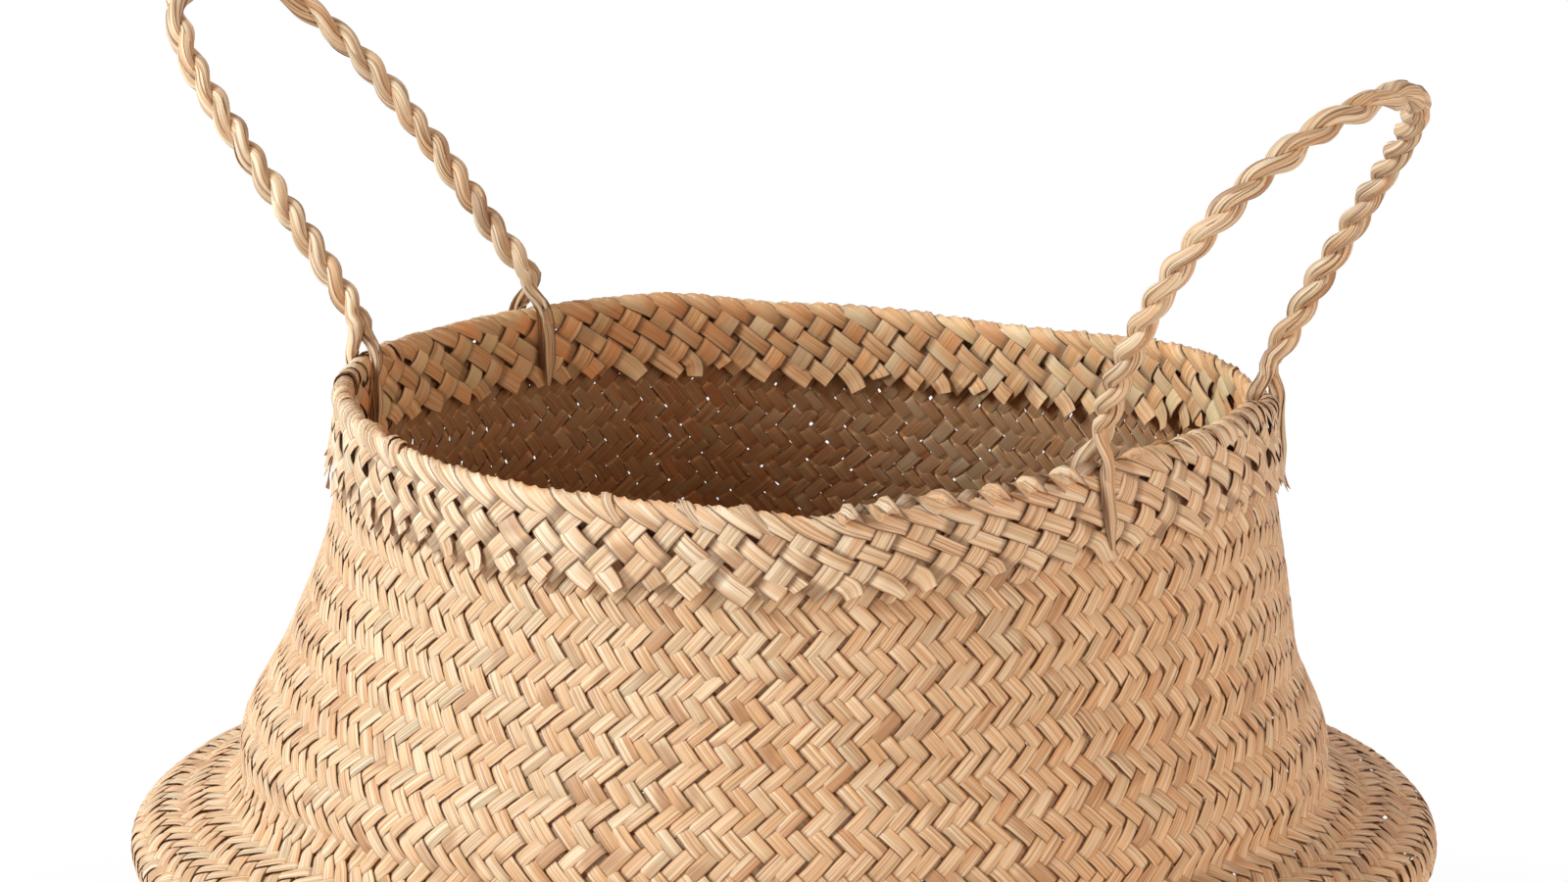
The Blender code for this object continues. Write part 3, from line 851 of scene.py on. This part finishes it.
ends = 0
for run in LASHED:
    for middle in np.arange(run["start"], run["end"], run["spacing"]):
        middle += chance.uniform(-LASHING_STRAY, LASHING_STRAY) * run["spacing"]
        advance = run["advance"] * chance.uniform(*ADVANCE_SHARES)
        width = run["width"] * chance.uniform(*WIDTH_SHARES)
        turn = chance.uniform(-LASHING_TURN, LASHING_TURN)
        lean = chance.uniform(-LASHING_LEAN, LASHING_LEAN)
        for step in range(LASHING_STEPS + 1):
            share = step / LASHING_STEPS
            bulge = LASHING_BULGE * math.sin(math.pi * share)
            add_corner(
                middle + advance * (0.5 - share), run["reach"] * (2 * share - 1), LASHING_OFF + bulge,
                strand=ends, breadth=width, twist=lean + turn * share, dip=0)
        ends += 1
for degrees in np.arange(RIBBON_START, RIBBON_END, RIBBON_STEP):
    narrowed = min(degrees - RIBBON_START, RIBBON_END - degrees, RIBBON_EASE) / RIBBON_EASE
    wander = RIBBON_WANDER * math.sin(degrees * RIBBON_WAVE)
    coil = math.tau * (degrees + wander) / RIBBON_TURN
    share = RIBBON_END_SHARE + (1 - RIBBON_END_SHARE) * narrowed + wander * RIBBON_SWELL
    # Painted shade on the hollow far side of the coil, carried as dip.
    dip = float(smooth(math.cos(coil) - math.sin(coil), COIL_SHADE_START, COIL_SHADE_END))
    add_corner(
        degrees, COIL_ACROSS * math.cos(coil) - RIBBON_LOWERED,
        (RIBBON_OFF + COIL_OUT * math.sin(coil)) * narrowed,
        strand=ends, breadth=RIBBON_WIDTH * share, twist=coil - math.pi / 2, dip=dip)
lashing_lines = bare_line("lashing lines", lashing_corners, **lashing_numbers)
lashings = grown("rim_lashings", lashing_lines, ribbon_tree(), {
    "Flatness": LASHING_FLATNESS, "Cup": LASHING_CUP, "Seed": 71,
    "Straw": straw_material("lashing straw", LASHING_STRAW, LASHING_CREASED)})
folded_over(lashings.data, collar, from_rim)
finish_straw(lashings)
lay_out(lashings, 0, ends + 1, LASHING_CORNERS)
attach(lashings, "collar")
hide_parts("rim_fold")


# The handles. Each is a rope of two plies laid round each other, and each ply is four leaves rolled
# together. Above the rim the plies part, and their flat ends are tucked down either face of the collar.
LEAVES = 4
LAY_RADIUS, LAY_LENGTH = 0.0020, 0.028
CROWN_SLACK, CROWN_SHARE = 0.62, 0.17
LEAF_CORE = 0.0024
LEAF_WIDTH = 0.0042
LEAF_FLATNESS, LEAF_CUP, LEAF_CORNERS = 0.16, 0.62, 8
LEAF_TURNS_PER_METRE = -12.0
LEAF_LAYER = 0.45
SWELLS_PER_METRE, SWELLS_PER_LEAF, SWELLS_PER_SEED = 55, 7.7, 3.1
SWELL_TURN, SWELL_CORE, SWELL_WIDTH = 0.25, 0.7, 0.5
LEG_SETTLE = 0.003
ROPE_STEP, ROPE_CURVE_STEPS = 0.0013, 80
ROPE_CREASED = 0.85
RIM_RADIUS, RIM_HEIGHT = 0.1480, 0.2955
PIVOT_HEIGHT = 0.306
TAIL_OUT, TAIL_LENGTH = 0.0045, 0.0245
TAIL_LEAD, TAIL_DROP = 0.006, 0.002
TAIL_BEND, TAIL_STEPS, TAIL_PARTED_STEPS = 12, 18, 4.5
LOOSE_STEPS, TIP_STEPS, TIP_SHARE = 22, 9, 0.25
HANDLES = {
    "right": {
        "seed": 75, "azimuth": 4, "spread": 28, "height": 0.122, "skew": -0.015, "splay": 23,
        "leg_reach": 0.074, "crown_reach": 0.070, "lean_low": 24, "lean_high": 44,
        "parted": ({1: 0.0015, -1: -0.0085}, {1: 0.002, -1: -0.004})},
    "left": {
        "seed": 70, "azimuth": 176, "spread": 18.8, "height": 0.137, "skew": 0.001, "splay": -10,
        "leg_reach": 0.047, "crown_reach": 0.059, "lean_low": 41, "lean_high": 47,
        "parted": ({1: 0.0065, -1: -0.0045}, {1: -0.003, -1: 0.004})}}
ROPE_STRAW = {
    "pale": (0.97, 0.69, 0.43), "tan": (0.82, 0.50, 0.27), "rust": (0.66, 0.35, 0.17),
    "olive": (0.68, 0.50, 0.31), "bleached": (0.99, 0.84, 0.63), "line": (0.30, 0.13, 0.06),
    "painted_shade": (0.20, 0.09, 0.04)}


def rope_line(sizes):
    """The rope's middle line over one handle, and the axis that it swings on."""
    away_x, away_y = heading(sizes["azimuth"])
    out, axis = Vector((away_x, away_y, 0)), Vector((-away_y, away_x, 0))
    spread_x, spread_y = heading(sizes["spread"])
    middle = out * RIM_RADIUS * spread_x + Vector((0, 0, PIVOT_HEIGHT))
    splay_x, splay_y = heading(sizes["splay"])
    foot = Vector((RIM_RADIUS * spread_y, 0))
    rises = [float(rim_rise(*(middle + axis * foot.x * end).xy)) for end in (-1, 1)]
    half = geometry.interpolate_bezier(
        foot, foot + Vector((splay_y, splay_x)) * sizes["leg_reach"],
        Vector((sizes["crown_reach"], sizes["height"])), Vector((0, sizes["height"])), ROPE_CURVE_STEPS)

    def at(along, rise):
        share = rise / sizes["height"]
        lean = math.radians(sizes["lean_low"] + (sizes["lean_high"] - sizes["lean_low"]) * share / 2)
        tilted = rises[0] + (rises[1] - rises[0]) * min(max(along / foot.x / 2 + 0.5, 0), 1)
        return (middle + axis * (along + sizes["skew"] * share)
                + out * rise * math.sin(lean) + Vector((0, 0, rise * math.cos(lean) + tilted)))

    line = [at(-along, rise) for along, rise in half] + [at(along, rise) for along, rise in half[-2::-1]]
    return even_line(line, ROPE_STEP), axis


def laid_plies(sizes):
    """The middle lines of a rope's two plies, side by side in the legs and laid round each other above."""
    line, axis = rope_line(sizes)
    line = [Vector(point) for point in line]
    length = ROPE_STEP * (len(line) - 1)
    laid = length - 2 * LEG_SETTLE
    half_turns = round(laid / LAY_LENGTH * 2)
    shares = np.clip((np.arange(len(line)) * ROPE_STEP - LEG_SETTLE) / laid, 0, 1)
    paces = np.diff(shares, prepend=0) * (1 - CROWN_SLACK * np.exp(-((shares - 0.5) / CROWN_SHARE) ** 2))
    wound = np.cumsum(paces) / paces.sum()
    side_way, plies = axis.copy(), ([], [])
    for place, point in enumerate(line):
        ahead = (line[min(place + 1, len(line) - 1)] - line[max(place - 1, 0)]).normalized()
        side_way = (side_way - ahead * side_way.dot(ahead)).normalized()
        seat_way = axis * math.copysign(1, side_way.dot(axis))
        reached = ROPE_STEP * place
        across = seat_way.lerp(side_way, min(reached / LEG_SETTLE, (length - reached) / LEG_SETTLE, 1))
        angle = math.pi * half_turns * wound[place]
        offset = across * math.cos(angle) + ahead.cross(side_way) * math.sin(angle)
        for ply, sign in zip(plies, (1, -1)):
            ply.append(point + offset * LAY_RADIUS * sign)
    return plies


def tail_line(seat, way, parted):
    """From a ply's end down one face of the collar: way is 1 outside it and -1 inside it."""
    out = Vector((seat.x, seat.y)).normalized()
    reach = Vector((seat.x, seat.y)).length
    low = Vector((RIM_RADIUS + TAIL_OUT * way, RIM_HEIGHT - TAIL_DROP + float(rim_rise(seat.x, seat.y))))
    down = Vector((0, TAIL_LEAD))
    bend = geometry.interpolate_bezier(
        Vector((reach, seat.z)), Vector((reach, seat.z)) - down, low + down, low, TAIL_BEND)
    bend += [low - Vector((0, TAIL_LENGTH * step / TAIL_STEPS)) for step in range(1, TAIL_STEPS + 1)]
    shares = smooth(np.arange(1, len(bend)), 0, TAIL_BEND + TAIL_PARTED_STEPS)
    return [Vector((
        out.x * spot.x - out.y * parted * share, out.y * spot.x + out.x * parted * share, spot.y))
        for spot, share in zip(bend[1:], shares)]


def leaves_tree():
    """Rolls leaves round a ply's middle line, and lays them flat where the line is loose."""
    tree, given = new_geometry_tree("Roll leaves", (
        ("Leaves", "Int"), ("Core", "Float"), ("Width", "Float"), ("Turns", "Float"), ("Flatness", "Float"),
        ("Seed", "Int"), ("Straw", "Material")))
    curve = measured(tree, line_copies(tree, given, given["Leaves"]))
    leaf, along = named(tree, "strand"), named(tree, "along")
    loose, taper = named(tree, "loose"), named(tree, "taper")
    swell = noise_of(tree, tree.add("ShaderNodeCombineXYZ", None, {
        "X": along * SWELLS_PER_METRE, "Y": leaf * SWELLS_PER_LEAF, "Z": given["Seed"] * SWELLS_PER_SEED}))
    angle = (leaf / given["Leaves"] + along * given["Turns"] + swell * SWELL_TURN) * math.tau
    normal = tree.add("GeometryNodeInputNormal")
    binormal = vector_math(tree, "CROSS_PRODUCT", tree.add("GeometryNodeInputTangent"), normal)
    radial = vector_math(
        tree, "ADD", scaled(tree, normal, angle.math("COSINE", angle)),
        scaled(tree, binormal, angle.math("SINE", angle)))
    outward = outward_way(tree)
    layered = (leaf - (given["Leaves"] - 1) / 2) * LEAF_LAYER
    radial = vector_math(
        tree, "ADD", scaled(tree, radial, 1 - loose), scaled(tree, outward, loose * layered))
    facing = vector_math(tree, "ADD", scaled(tree, radial, 1 - loose), scaled(tree, outward, loose))
    core = scaled(tree, radial, given["Core"] * (1 + swell * SWELL_CORE))
    place = vector_math(tree, "ADD", tree.add("GeometryNodeInputPosition"), core)
    curve = tinted(tree, moved_and_faced(tree, curve, place, facing), given["Seed"])
    half_width = given["Width"] / 2 * (1 + swell * SWELL_WIDTH) * taper
    sweep_flat(tree, curve, half_width, given["Flatness"], LEAF_CUP, LEAF_CORNERS, given["Straw"])
    return tree


rolled = leaves_tree()
rope_straw = straw_material("twisted straw", ROPE_STRAW, ROPE_CREASED)
for side, sizes in HANDLES.items():
    plies = laid_plies(sizes)
    for number, (ply, other) in enumerate(zip(plies, plies[::-1]), 1):
        ways = [1 if ply[end].xy.length > other[end].xy.length else -1 for end in (0, -1)]
        tails = [tail_line(ply[end], way, sizes["parted"][end][way]) for end, way in zip((0, -1), ways)]
        points = tails[0][::-1] + ply + tails[1]
        tail_steps = len(tails[0])
        from_tip = np.minimum(np.arange(len(points)), np.arange(len(points))[::-1])
        loose = np.clip((tail_steps - from_tip) / LOOSE_STEPS, 0, 1)
        taper = np.clip(from_tip / TIP_STEPS + TIP_SHARE, 0, 1)
        line = bare_line("ply line", [tuple(point) for point in points], loose=loose, taper=taper)
        piece = grown(f"{side}_rope_ply_{number}", line, rolled, {
            "Leaves": LEAVES, "Core": LEAF_CORE, "Width": LEAF_WIDTH, "Turns": LEAF_TURNS_PER_METRE,
            "Flatness": LEAF_FLATNESS, "Seed": sizes["seed"] + number, "Straw": rope_straw})
        finish_straw(piece, settle=False)
        lay_out(piece, 0, LEAVES, LEAF_CORNERS)
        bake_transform(piece)
        front_end = 0 if ply[0].y < ply[-1].y else 1
        tail_nodes = [
            f"{side}_{'front' if end == front_end else 'back'}_{'outer' if way > 0 else 'inner'}_tail"
            for end, way in enumerate(ways)]
        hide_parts(f"{side}_handle_ply_{number}", *tail_nodes)
